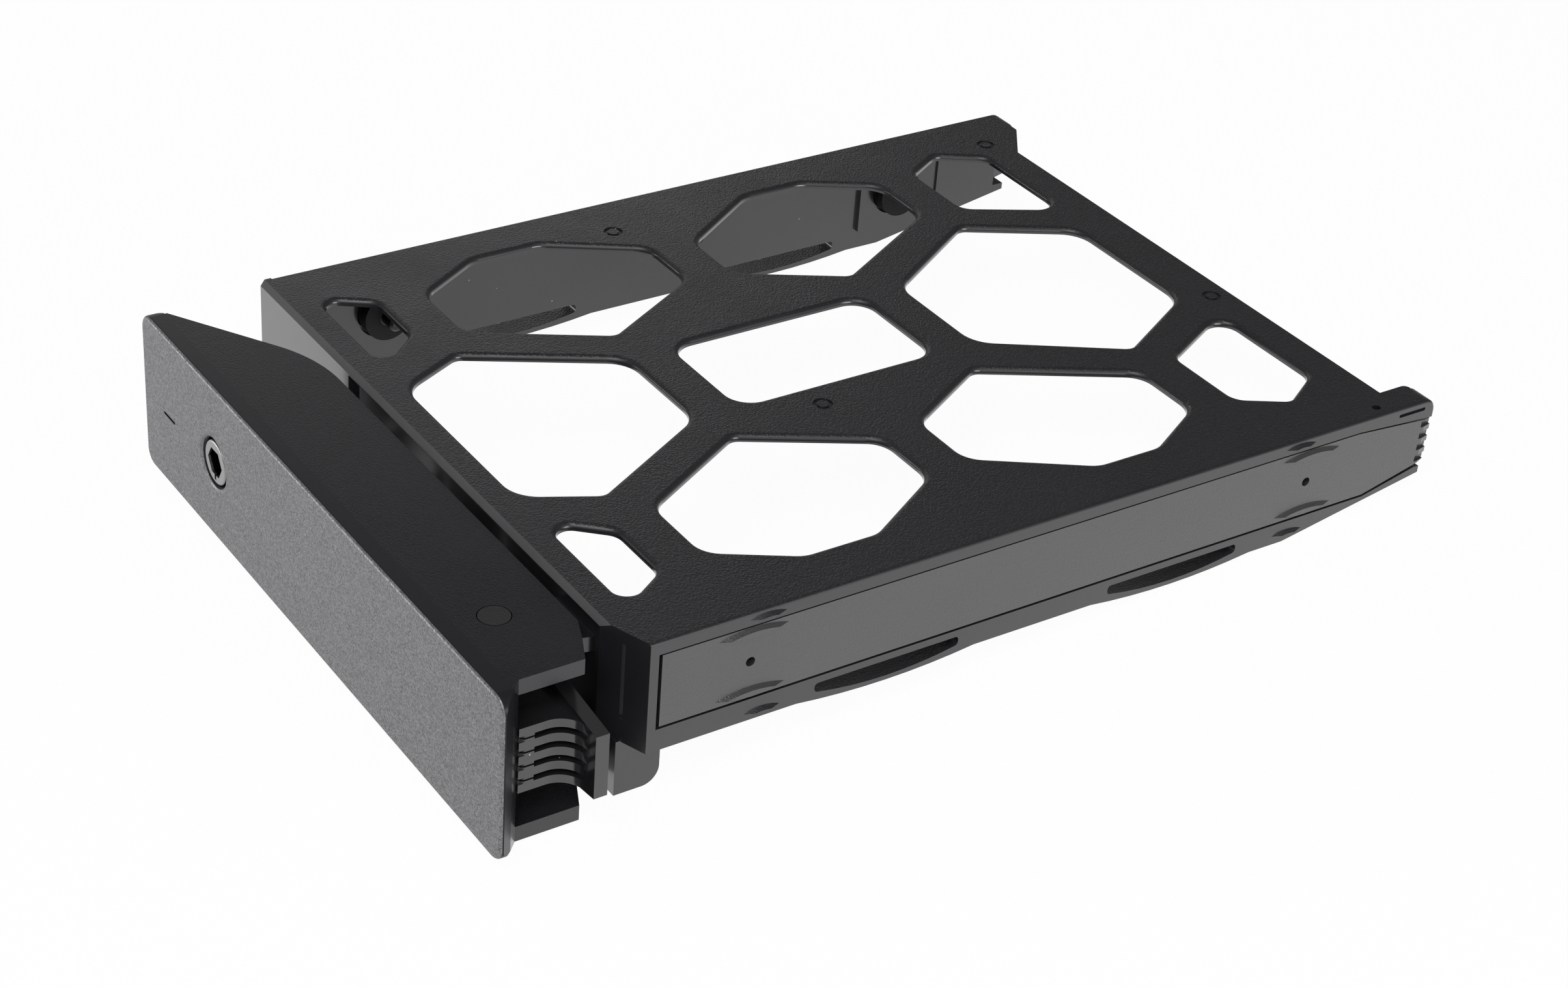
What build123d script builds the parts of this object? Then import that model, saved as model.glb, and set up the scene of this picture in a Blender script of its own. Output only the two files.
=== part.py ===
"""Hot swap drive caddy: a tray for one 3.5-inch drive with a lever handle, a key lock and two
pull-off side panels whose pins hold the drive by its side holes.

X runs across the tray from its centre line, Y runs back from the tray's front plane, and Z is
up from the plate's outer face. All sizes are in millimetres.
"""
from build123d import *
from math import atan2, cos, radians, tan
import os

os.makedirs("parts", exist_ok=True)

# The drive that the tray holds
drive_width = 101.6
drive_hole_height = 6.35
drive_hole_pitch = 101.6
drive_middle_hole = 41.6
front_pin_y = 19.46
pin_reach = 3.0
drive_side_gap = 2.2

# Tray plate and its windows, counted from the front edge to the rear edge
plate_thick = 1.2
front_margin = 5.2
front_window_length = 8.2
window_web = 7.85
side_window_length = 40.3
rear_window_length = 15.8
rear_margin = 6.1
edge_margin = 8.5
window_shift = -0.4
middle_web = 7.7
front_middle_length = 34.5
slot_length = 36.5
rear_middle_length = 39.4
slot_half_width = 10.25
hexagon_corner = 5.5
side_corner = 4.5
slot_corner = 4.0
small_corner = 3.0
sharp_corner = 2.2
point_corner = 2.0
small_front_step = 0.9
small_rear_step = 6.1
side_a_front_step = 7.2
side_a_rear_step = 9.2
side_b_front_step = 10.6
side_b_rear_step = 6.8
window_edge_round = 0.9
seat_high = 0.7
seat_width = 3.4
front_bevel_deep = 0.7
front_bevel_high = 1.0
mark_radius = 1.6
mark_depth = 0.25
mark_outer_inset = 9.9
mark_inner_x = 15.1
front_mark_before = 20.5
rear_mark_margin = 3.4
dot_radius = 0.7
dot_margin = 3.7
dot_depth = 0.9

# Side rails
rail_height = 18.2
rail_thick = 4.2
rail_overhang = 7.25
tip_drop = 3.3
tip_round = 2.2
tip_width = 5.3
tip_length = 5.5
tip_corner = 1.0
edge_round = 0.5
left_tip_width = 7.3
left_tip_slant = 7.7
rail_taper_start = 118.0
lip_overhang = 6.2
lip_top_rise = 6.0
lip_bottom_rise = 4.85
recess_depth = 2.7
recess_front = 4.5
recess_top = 2.15
recess_bottom_rise = 3.6
top_bend_y = 131.0
bottom_bend_y = 134.0
top_fall = 1.3
bottom_rise = 3.1
wall_overhang = 3.95
bow_starts = (30.7, 83.3)
bow_length = 25.0
bow_run_out = 3.0
bow_drop = 1.0
bow_lip = 0.75
bow_slot_rise = 2.45
bow_slot_end_rise = 1.0
bow_slot_corner = 0.6
groove_width = 0.6
groove_depth = 0.4
tip_groove_drop = 1.4
inner_rib_before_pin = 7.5
inner_rib_width = 1.0
inner_rib_high = 0.8
inner_groove_after_pin = 8.5
inner_groove_width = 1.6
inner_groove_deep = 0.4

# Guide bumps on the rails and the panels
bump_height = 0.6
bump_slope = 40
rail_bump_length = 6.0
rail_bump_width = 1.25
panel_bump_length = 11.4
panel_bump_width = 1.9
bump_after_pin = 0.2
rail_bump_after_pin = 2.4
rear_bump_shift = -4.8
lower_bump_rise = 1.2
rear_lower_bump_rise = 1.5

# Front wall, bevelled corner, bulkhead and fin
front_wall = 1.8
front_recess_left_inset = 31.0
front_recess_right_inset = 9.3
opening_left_inset = 33.0
opening_right_inset = 29.2
opening_top = 5.6
opening_bottom_rise = 2.2
opening_corner = 1.7
bevel_angle = 20.7
bevel_run = 8.2
bevel_groove_in = 4.2
bevel_groove_drop = 2.0
bevel_groove_rise = 3.8
bulkhead_inset = 27.2
bulkhead_front = 0.9
bulkhead_thick = 1.5
bulkhead_rise = 2.2
fin_short = 0.75
fin_thick = 2.0
fin_back = 8.2
fin_round = 2.8

# Lever handle
handle_top = 1.15
handle_height = 27.0
handle_wall = 2.5
handle_back = -1.8
face_front = -19.8
face_thick = 2.9
face_overhang = 1.1
face_corner = 2.6
face_round = 0.6
web_thick = 1.5
lever_left_inset = 1.45
lever_left_deep = 0.4
taper_run = 24.4
taper_round = 25.0
taper_wall = 1.5
corner_out = 3.6
corner_mid_run = 4.2
corner_mid_in = 1.6
corner_run = 8.3
lever_rib_count = 3
lever_rib_first = 22.2
lever_rib_pitch = 18.0
lever_rib_thick = 1.2
lever_rib_back = -6.5

# Hinge
pivot_inset = 17.1
pivot_y = -11.2
lug_radius = 3.9
lug_thick = 2.4
lug_right_inset = 10.3
lug_gap = 0.6
washer_thick = 0.5
washer_radius = 3.5
pin_radius = 1.5
hinge_clearance = 0.05
pin_head_radius = 2.3
head_ring_gap = 0.15
pin_end_gap = 0.15
clip_radius = 3.2
clip_thick = 0.6
clip_pocket = 0.9
clip_groove_radius = 1.2
clip_mouth = 1.8

# Ribbed hook
hook_tip_reach = 3.8
hook_back = -5.1
hook_plate_thick = 2.1
hook_plate_inset = 13.2
hook_plate_rise = 1.9
hook_bend_run = 9.0
hook_bend_rise = 1.0
hook_tip_rise = 0.2
hook_side_inset = 2.3
hook_rise = 0.3
hub_radius = 4.1
hub_gap = 0.3
rib_count = 5
rib_pitch = 2.33
rib_thick = 1.35
hook_curve = 4.0
rib_groove_start = -13.0
rib_groove_deep = 2.8
rib_line_width = 0.3
rib_line_deep = 0.8
rib_nose = 0.9

# Lock
lock_inset = 25.0
plug_head_radius = 3.65
plug_body_radius = 3.45
plug_clearance = 0.05
plug_sink = 0.25
lock_ring_gap = 0.2
flare = 1.1
barrel_radius = 5.2
barrel_back = -9.2
fit_gap = 0.03
key_across = 4.3
key_depth = 5.0
key_notch_width = 0.6
key_notch_reach = 3.0
key_notch_depth = 1.2
nut_across = 14.0
nut_thick = 2.0
boss_wall = 1.6
boss_length = 2.2
cam_thick = 1.2
cam_half_width = 2.2
cam_reach = 16.2
cam_hub_radius = 3.6
cam_slot_gap = 0.4
cam_slot_reach = 12.9
cam_play = 0.3
tail_across = 3.2
screw_head_radius = 2.3
screw_head_high = 1.4
screw_radius = 1.1
screw_length = 5.0
screw_drive_across = 1.5
dash_inset = 8.65
dash_drop = 0.75
dash_length = 4.2
dash_width = 0.5
dash_depth = 0.2

# Side panels with their pins and grommets
panel_gap = 0.3
panel_front_gap = 0.6
panel_flush = 0.1
panel_seat_gap = 0.05
grip_length = 1.5
grip_drop = 0.35
grip_teeth = 4
grip_pitch = 2.1
grip_groove = 1.2
grip_groove_deep = 0.3
pin_hole_radius = 0.75
pin_body_radius = 1.6
pin_tip_radius = 1.3
pin_tip_bevel = 0.4
pin_collar_radius = 2.4
pin_collar_thick = 1.0
grommet_radius = 4.2
grommet_hole_gap = 0.4
grommet_drive_gap = 0.1
grommet_waist = 0.5
tongue_length = 7.0
tongue_height = 3.0
tongue_depth = 0.9
tongue_gap = 0.3
tongue_places = (45.0, 97.0)

# Places that follow from the sizes above
tray_width = drive_width + 2 * (drive_side_gap + rail_thick)
half_width = tray_width / 2
side_window_a = front_margin + front_window_length + window_web
side_window_b = side_window_a + side_window_length + window_web
rear_window_start = side_window_b + side_window_length + window_web
plate_length = rear_window_start + rear_window_length + rear_margin
slot_start = front_margin + front_middle_length + middle_web
rear_middle_start = slot_start + slot_length + middle_web
window_outer = half_width - edge_margin
rail_end = plate_length + rail_overhang
lip_end = plate_length + lip_overhang
wall_end = plate_length + wall_overhang
pin_z = -(plate_thick + seat_high + drive_hole_height)
rear_pin_y = front_pin_y + drive_hole_pitch
middle_hole_y = rear_pin_y - drive_middle_hole
rail_inner = half_width - rail_thick
recess_floor = half_width - recess_depth
recess_bottom = rail_height - recess_bottom_rise
panel_inner = recess_floor + panel_seat_gap
panel_outer = half_width - panel_flush
handle_bottom = handle_top + handle_height
handle_middle = -(handle_top + handle_bottom) / 2
fin_bottom = handle_bottom - fin_short
face_back = face_front + face_thick
web_back = face_back + web_thick
face_half_width = half_width + face_overhang
end_slope_start = face_front + face_round
lever_right = face_half_width - (web_back - end_slope_start)
lever_left = lever_left_inset - half_width
taper_end_x = taper_run - half_width
pivot_x = half_width - pivot_inset
lug_right = half_width - lug_right_inset
lock_x = lock_inset - half_width
boss_back = web_back + boss_length
inner_top = -(handle_top + handle_wall)
inner_bottom = -(handle_bottom - handle_wall)
upper_lug_top = inner_top - lug_gap
lower_lug_bottom = inner_bottom + lug_gap
cam_front = barrel_back + cam_play
cam_back = cam_front + cam_thick
bulkhead_left = half_width - bulkhead_inset
front_recess_left = front_recess_left_inset - half_width
front_recess_right = half_width - front_recess_right_inset
recessed_wall_left = front_recess_left - front_wall
pin_ends = (("front", front_pin_y), ("rear", rear_pin_y))


def outline(points):
    """Fill a closed outline in the sketch that is being drawn."""
    Polygon(*points, align=None)


def guide_bump(base, y, z, length, width):
    """Add one low boat-shaped bump to the part that is being built, on a face along Y."""
    ends = ((y - length / 2, z), (y + length / 2, z))
    with BuildSketch(base) as boat:
        with BuildLine():
            ThreePointArc(ends[0], (y, z + width / 2), ends[1])
            ThreePointArc(ends[1], (y, z - width / 2), ends[0])
        make_face()
    extrude(boat.sketch, amount=bump_height, taper=bump_slope)


def recess_points(inset, front, rear):
    """Corners of the rail's recess in Y and Z, drawn in by an inset for the panel."""
    top = -(recess_top + inset)
    bottom = -(recess_bottom - inset)
    return (
        (front, top),
        (top_bend_y, top),
        (rear, top - top_fall),
        (rear, bottom + bottom_rise),
        (bottom_bend_y, bottom),
        (front, bottom),
    )


def side_facing(distance, side):
    """Plane in Y and Z at a distance from the centre line, facing out on its side."""
    return Plane(origin=(side * distance, 0, 0), x_dir=(0, 1, 0), z_dir=(1, 0, 0))


# Window outlines on the right half of the plate: X, Y from the window's front edge, corner radius
small_front_window = (
    (24.2, 0, sharp_corner),
    (window_outer - small_front_step, 0, sharp_corner),
    (window_outer - small_rear_step, front_window_length, small_corner),
    (31.4, front_window_length, small_corner),
)
small_rear_window = (
    (28.6, 0, small_corner),
    (window_outer - 5.6, 0, small_corner),
    (window_outer - 1.2, 7.6, point_corner),
    (window_outer - 6.0, rear_window_length, small_corner),
    (20.6, rear_window_length, small_corner),
)
side_window_front = (
    (17.0, 20.4, point_corner),
    (28.3, 0, side_corner),
    (window_outer - side_a_front_step, 0, side_corner),
    (window_outer, 12.2, side_corner),
    (window_outer, 24.6, side_corner),
    (window_outer - side_a_rear_step, side_window_length, side_corner),
    (27.9, side_window_length, side_corner),
)
side_window_rear = (
    (17.0, 16.8, point_corner),
    (26.3, 0, side_corner),
    (window_outer - side_b_front_step, 0, side_corner),
    (window_outer, 16.6, side_corner),
    (window_outer, 28.0, side_corner),
    (window_outer - side_b_rear_step, side_window_length, side_corner),
    (30.0, side_window_length, side_corner),
)
side_windows = (
    (small_front_window, front_margin),
    (side_window_front, side_window_a),
    (side_window_rear, side_window_b),
    (small_rear_window, rear_window_start),
)
front_middle_window = (
    (-9.7, front_middle_length, hexagon_corner),
    (-22.4, 11.3, point_corner),
    (-16.9, 0, hexagon_corner),
    (16.9, 0, hexagon_corner),
    (22.4, 11.3, point_corner),
    (9.7, front_middle_length, hexagon_corner),
)
rear_middle_window = (
    (-10.1, 0, hexagon_corner),
    (10.1, 0, hexagon_corner),
    (23.1, 21.4, point_corner),
    (13.3, rear_middle_length, hexagon_corner),
    (-13.3, rear_middle_length, hexagon_corner),
    (-23.1, 21.4, point_corner),
)
slot_window = (
    (-slot_half_width, 0, slot_corner),
    (slot_half_width, 0, slot_corner),
    (slot_half_width, slot_length, slot_corner),
    (-slot_half_width, slot_length, slot_corner),
)
middle_windows = (
    (front_middle_window, front_margin),
    (slot_window, slot_start),
    (rear_middle_window, rear_middle_start),
)
front_mark_y = middle_hole_y - front_mark_before
rear_mark_y = plate_length - rear_mark_margin
mark_places = (
    (mark_outer_inset - half_width, front_mark_y),
    (mark_inner_x, front_mark_y),
    (mark_inner_x, rear_mark_y),
    (mark_outer_inset - half_width, rear_mark_y),
)


def cut_window(points, start, side):
    """Cut one window through the plate and roll its upper rim."""
    places = [(side * x + window_shift, start + y) for x, y, corner in points]
    corners = [corner for x, y, corner in points]
    with BuildSketch(Plane.XY) as window:
        with BuildLine():
            FilletPolyline(*places, radius=corners, close=True)
        make_face()
    extrude(window.sketch, amount=-plate_thick, mode=Mode.SUBTRACT)
    fillet(edges(Select.LAST).group_by(Axis.Z)[-1], window_edge_round)


def tray_rail(side):
    """Add one side rail with its recess, holes, bowed runners and bumps."""
    inner = side_facing(rail_inner, side)
    outer = side_facing(half_width, side)
    floor = side_facing(recess_floor, side)
    with BuildSketch(inner) as profile:
        outline((
            (0, 0),
            (rail_end, 0),
            (rail_end, -tip_drop),
            (wall_end, -tip_drop),
            (wall_end, lip_top_rise - rail_height),
            (lip_end, lip_top_rise - rail_height),
            (lip_end, lip_bottom_rise - rail_height),
            (rail_taper_start, -rail_height),
            (0, -rail_height),
        ))
        fillet(profile.vertices().sort_by_distance((rail_end, 0, 0))[0], tip_round)
    extrude(profile.sketch, amount=side * rail_thick)
    top_edges = edges(Select.LAST).filter_by(Axis.Y).group_by(Axis.Z)[-1].sort_by(Axis.X)
    fillet(top_edges[-1 if side > 0 else 0], edge_round)
    slot_top = bow_slot_rise - rail_height
    slot_end = bow_slot_end_rise - rail_height
    for start in bow_starts:
        middle = start + bow_length / 2
        left, right = start - bow_run_out, start + bow_length + bow_run_out
        with BuildSketch(inner) as runner:
            with BuildLine():
                Line((left, -rail_height), (right, -rail_height))
                lowest = (middle, -rail_height - bow_drop)
                ThreePointArc((left, -rail_height), lowest, (right, -rail_height))
            make_face()
        extrude(runner.sketch, amount=side * rail_thick)
        with BuildSketch(inner) as slot:
            with BuildLine():
                Polyline(
                    (start, slot_end),
                    (start, slot_top),
                    (start + bow_length, slot_top),
                    (start + bow_length, slot_end),
                )
                low_point = bow_lip - bow_drop - rail_height
                ThreePointArc((start, slot_end), (middle, low_point), (start + bow_length, slot_end))
            make_face()
            fillet(slot.vertices(), bow_slot_corner)
        extrude(slot.sketch, amount=side * rail_thick, mode=Mode.SUBTRACT)
    with BuildSketch(floor) as recess:
        outline(recess_points(0, recess_front, rail_end + 1))
    extrude(recess.sketch, amount=side * (recess_depth + 1), mode=Mode.SUBTRACT)
    with BuildSketch(inner) as holes:
        with Locations((front_pin_y, pin_z), (rear_pin_y, pin_z)):
            Circle(grommet_radius + grommet_hole_gap)
        with Locations((middle_hole_y, pin_z)):
            Circle(drive_hole_height / 4)
    extrude(holes.sketch, amount=side * (rail_thick - recess_depth), mode=Mode.SUBTRACT)
    with BuildSketch(floor) as pockets:
        with Locations([(y, pin_z) for y in tongue_places]):
            Rectangle(tongue_length + 2 * tongue_gap, tongue_height + 2 * tongue_gap)
    extrude(pockets.sketch, amount=-side * tongue_depth, mode=Mode.SUBTRACT)
    rib_top, rib_bottom = -(plate_thick + seat_high), -recess_bottom
    with BuildSketch(inner) as rib:
        with Locations((rear_pin_y - inner_rib_before_pin, (rib_top + rib_bottom) / 2)):
            Rectangle(inner_rib_width, rib_top - rib_bottom)
    extrude(rib.sketch, amount=-side * inner_rib_high)
    with BuildSketch(inner) as mark_line:
        with Locations((rear_pin_y + inner_groove_after_pin, (rib_top + rib_bottom) / 2)):
            Rectangle(inner_groove_width, rib_top - rib_bottom)
    extrude(mark_line.sketch, amount=side * inner_groove_deep, mode=Mode.SUBTRACT)
    with BuildSketch(outer) as groove:
        with Locations((rail_end - tip_length / 2 - tip_round, -tip_groove_drop)):
            SlotOverall(tip_length, groove_width)
    extrude(groove.sketch, amount=-side * groove_depth, mode=Mode.SUBTRACT)
    base = Plane(origin=outer.origin, x_dir=(0, side, 0), z_dir=(side, 0, 0))
    front_bump_y = front_pin_y + rail_bump_after_pin
    rear_bump_y = rear_pin_y + rail_bump_after_pin + rear_bump_shift
    for y, low_z in (
        (front_bump_y, lower_bump_rise - rail_height),
        (rear_bump_y, rear_lower_bump_rise - rail_height),
    ):
        for z in (-recess_top * 0.55, low_z):
            guide_bump(base, side * y, z, rail_bump_length, rail_bump_width)


def hinge_lug(bottom_z):
    """Add one ear that reaches forward from the bulkhead to the hinge pin."""
    lug_left = pivot_x - lug_radius
    with BuildSketch(Plane.XY.offset(bottom_z)) as ear:
        with Locations((pivot_x, pivot_y)):
            Circle(lug_radius)
        with Locations(((lug_left + lug_right) / 2, bulkhead_front + bulkhead_thick / 2)):
            Rectangle(lug_right - lug_left, bulkhead_thick)
        make_hull()
        with Locations((pivot_x, pivot_y)):
            Circle(pin_radius + hinge_clearance, mode=Mode.SUBTRACT)
    extrude(ear.sketch, amount=lug_thick)


# Tray frame: plate, rails, front wall, bulkhead, fin and hinge lugs in one moulding
with BuildPart() as tray_frame:
    with BuildSketch(Plane.XY):
        with Locations((0, plate_length / 2)):
            Rectangle(tray_width, plate_length)
    extrude(amount=-plate_thick)
    for points, start in side_windows:
        for side in (1, -1):
            cut_window(points, start, side)
    for points, start in middle_windows:
        cut_window(points, start, 1)
    for side in (1, -1):
        tray_rail(side)
        with BuildSketch(Plane.XY.offset(-plate_thick)):
            with Locations((side * (rail_inner - seat_width / 2), (front_wall + plate_length) / 2)):
                Rectangle(seat_width, plate_length - front_wall)
        extrude(amount=-seat_high)
    tip_end = plate_length + tip_length
    with BuildSketch(Plane.XY) as tips:
        outline((
            (rail_inner, plate_length),
            (half_width - tip_width, plate_length),
            (half_width - tip_width, tip_end),
            (rail_inner, tip_end),
        ))
        outline((
            (-rail_inner, plate_length),
            (-rail_inner, tip_end),
            (left_tip_width - half_width, tip_end),
            (left_tip_width + left_tip_slant - half_width, plate_length),
        ))
        tip_points = tips.vertices().group_by(Axis.Y)[-1].sort_by(Axis.X)
        fillet([tip_points[1], tip_points[2]], tip_corner)
    extrude(amount=-plate_thick)
    with BuildSketch(Plane.XZ):
        for left, right in ((-half_width, front_recess_left), (front_recess_right, half_width)):
            with Locations(((left + right) / 2, -rail_height / 2)):
                Rectangle(right - left, rail_height)
    extrude(amount=-front_wall)
    with BuildSketch(Plane.XZ.offset(-bulkhead_front)):
        with Locations(((recessed_wall_left + rail_inner) / 2, -rail_height / 2)):
            Rectangle(rail_inner - recessed_wall_left, rail_height)
        opening_high = rail_height - opening_bottom_rise - opening_top
        opening_middle = (opening_left_inset - opening_right_inset) / 2
        with Locations((opening_middle, -(opening_top + opening_high / 2))):
            RectangleRounded(
                tray_width - opening_left_inset - opening_right_inset,
                opening_high,
                opening_corner,
                mode=Mode.SUBTRACT,
            )
    extrude(amount=-bulkhead_thick)
    with BuildSketch(Plane.XZ.offset(-bulkhead_front)):
        outline((
            (bulkhead_left, bulkhead_rise - rail_height),
            (bulkhead_left, -fin_bottom),
            (rail_inner, -fin_bottom),
            (rail_inner, bulkhead_rise - rail_height),
        ))
    extrude(amount=-bulkhead_thick)
    with BuildSketch(side_facing(rail_inner - fin_thick, 1)) as fin_face:
        outline((
            (bulkhead_front, bulkhead_rise - rail_height),
            (bulkhead_front, -fin_bottom),
            (fin_back, -fin_bottom),
            (fin_back, bulkhead_rise - rail_height),
        ))
        fillet(fin_face.vertices().sort_by_distance((fin_back, -fin_bottom, 0))[0], fin_round)
    extrude(amount=fin_thick)
    hinge_lug(upper_lug_top - lug_thick)
    hinge_lug(lower_lug_bottom)
    bevel_rise = tan(radians(bevel_angle))
    with BuildSketch(Plane.XY):
        outline((
            (half_width - bevel_run, 0),
            (half_width + 1, (bevel_run + 1) * bevel_rise),
            (half_width + 1, -1),
            (half_width - bevel_run, -1),
        ))
    extrude(amount=-rail_height, mode=Mode.SUBTRACT)
    with BuildSketch(Plane.XY.offset(-bevel_groove_drop)):
        with Locations((half_width - bevel_groove_in, (bevel_run - bevel_groove_in) * bevel_rise)):
            Rectangle(groove_width, 2 * groove_depth, rotation=bevel_angle)
    extrude(amount=bevel_groove_rise + bevel_groove_drop - rail_height, mode=Mode.SUBTRACT)
    with BuildSketch(side_facing(-half_width, 1)):
        outline((
            (0, -front_bevel_high),
            (front_bevel_deep, 0),
            (front_bevel_deep, 1),
            (-1, 1),
            (-1, -front_bevel_high),
        ))
    extrude(amount=tray_width, mode=Mode.SUBTRACT)
    with BuildSketch(Plane.XY):
        with Locations(*mark_places):
            Circle(mark_radius)
            Circle(mark_radius * 0.6, mode=Mode.SUBTRACT)
    extrude(amount=-mark_depth, mode=Mode.SUBTRACT)
    with BuildSketch(Plane.XY):
        with Locations((half_width - recess_top, plate_length - dot_margin)):
            Circle(dot_radius)
    extrude(amount=-dot_depth, mode=Mode.SUBTRACT)

tray_frame.part.label = "tray_frame"
export_step(tray_frame.part, "parts/tray_frame.step")


# Handle face: the painted front plate with the lock hole and the dash
face_plane = Plane(origin=(0, face_back, handle_middle), x_dir=(1, 0, 0), z_dir=(0, -1, 0))
with BuildPart() as handle_face:
    with BuildSketch(face_plane) as face_shape:
        Rectangle(2 * face_half_width, handle_height)
        fillet(face_shape.vertices(), face_corner)
    extrude(amount=face_thick)
    fillet(handle_face.faces().sort_by(Axis.Y)[0].edges(), face_round)
    with BuildSketch(Plane.XY.offset(-handle_bottom)):
        for side in (1, -1):
            outline((
                (side * face_half_width, end_slope_start),
                (side * (face_half_width + 1), end_slope_start),
                (side * (face_half_width + 1), face_back + 1),
                (side * (face_half_width + end_slope_start - face_back - 1), face_back + 1),
            ))
    extrude(amount=handle_height, mode=Mode.SUBTRACT)
    with BuildSketch(face_plane):
        with Locations((lock_x, 0)):
            Circle(plug_head_radius + lock_ring_gap)
    extrude(amount=face_thick, mode=Mode.SUBTRACT)
    fillet(edges(Select.LAST).filter_by(GeomType.CIRCLE).sort_by(Axis.Y)[0], flare)
    with BuildSketch(face_plane.offset(face_thick - dash_depth)):
        with Locations((dash_inset - half_width, -dash_drop)):
            SlotOverall(dash_length, dash_width)
    extrude(amount=dash_depth, mode=Mode.SUBTRACT)

handle_face.part.label = "handle_face"
export_step(handle_face.part, "parts/handle_face.step")


# Handle lever: the black channel behind the face, tapered at its left end
taper_angle = atan2(handle_back - face_back - lever_left_deep, taper_end_x - lever_left)
taper_slope = tan(taper_angle)
taper_inset = taper_wall / cos(taper_angle)
hollow_left = lever_left + (web_back - face_back - lever_left_deep + taper_inset) / taper_slope
hollow_back_x = hollow_left + (1 - web_back) / taper_slope

with BuildPart() as handle_lever:
    with BuildSketch(Plane.XY.offset(-handle_bottom)) as plan:
        outline((
            (lever_left, face_back),
            (lever_right + web_thick, face_back),
            (lever_right, web_back),
            (lever_right, handle_back - corner_out),
            (lever_right - corner_mid_run, handle_back - corner_mid_in),
            (lever_right - corner_run, handle_back),
            (taper_end_x, handle_back),
            (lever_left, face_back + lever_left_deep),
        ))
        fillet(plan.vertices().sort_by_distance((taper_end_x, handle_back, 0))[0], taper_round)
    extrude(amount=handle_height)
    with BuildSketch(Plane.XY.offset(inner_bottom)):
        outline((
            (hollow_left, web_back),
            (lever_right + 1, web_back),
            (lever_right + 1, 1),
            (hollow_back_x, 1),
        ))
    extrude(amount=inner_top - inner_bottom, mode=Mode.SUBTRACT)
    for rib in range(lever_rib_count):
        rib_x = lock_x + lever_rib_first + rib * lever_rib_pitch
        with BuildSketch(Plane.XY.offset(inner_bottom)):
            with Locations((rib_x, (web_back + lever_rib_back) / 2)):
                Rectangle(lever_rib_thick, lever_rib_back - web_back)
        extrude(amount=inner_top - inner_bottom)
    lock_plane = Plane(origin=(lock_x, web_back, handle_middle), x_dir=(1, 0, 0), z_dir=(0, 1, 0))
    with BuildSketch(lock_plane):
        Circle(barrel_radius + boss_wall)
    extrude(amount=boss_length)
    with BuildSketch(lock_plane.offset(-web_thick)):
        Circle(barrel_radius + fit_gap)
    extrude(amount=web_thick + boss_length, mode=Mode.SUBTRACT)
    with BuildSketch(Plane.XY.offset(-handle_top)):
        with Locations((pivot_x, pivot_y)):
            Circle(pin_head_radius + head_ring_gap)
    extrude(amount=-handle_wall, mode=Mode.SUBTRACT)
    with BuildSketch(Plane.XY.offset(-handle_bottom)):
        with Locations((pivot_x, pivot_y)):
            Circle(pin_radius + fit_gap)
    extrude(amount=handle_wall, mode=Mode.SUBTRACT)
    with BuildSketch(Plane.XY.offset(-handle_bottom)):
        with Locations((pivot_x, pivot_y)):
            Circle(clip_radius + fit_gap)
    extrude(amount=clip_pocket, mode=Mode.SUBTRACT)
    slot_left = lock_x - cam_half_width - cam_slot_gap
    slot_right = lock_x + cam_slot_reach
    with BuildSketch(Plane.XY.offset(-handle_bottom)):
        with Locations(((slot_left + slot_right) / 2, (cam_front + cam_back) / 2)):
            Rectangle(slot_right - slot_left, cam_thick + 2 * cam_slot_gap)
    extrude(amount=handle_wall, mode=Mode.SUBTRACT)

handle_lever.part.label = "handle_lever"
export_step(handle_lever.part, "parts/handle_lever.step")


# Ribbed hook: turns with the lever and catches behind the chassis lip
rib_stack = rib_pitch * (rib_count - 1) + rib_thick
hook_middle = handle_middle + hook_rise
rib_stack_bottom = hook_middle - rib_stack / 2
hook_tip_x = half_width + hook_tip_reach
hook_plate_left = half_width - hook_plate_inset
hook_side_x = half_width - hook_side_inset
hook_front = hook_back - hook_plate_thick
curve_corner_x = hook_side_x + hook_curve
hub_bottom = lower_lug_bottom + lug_thick + hub_gap
hub_top = upper_lug_top - lug_thick - hub_gap
arm_front = web_back + fit_gap

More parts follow.
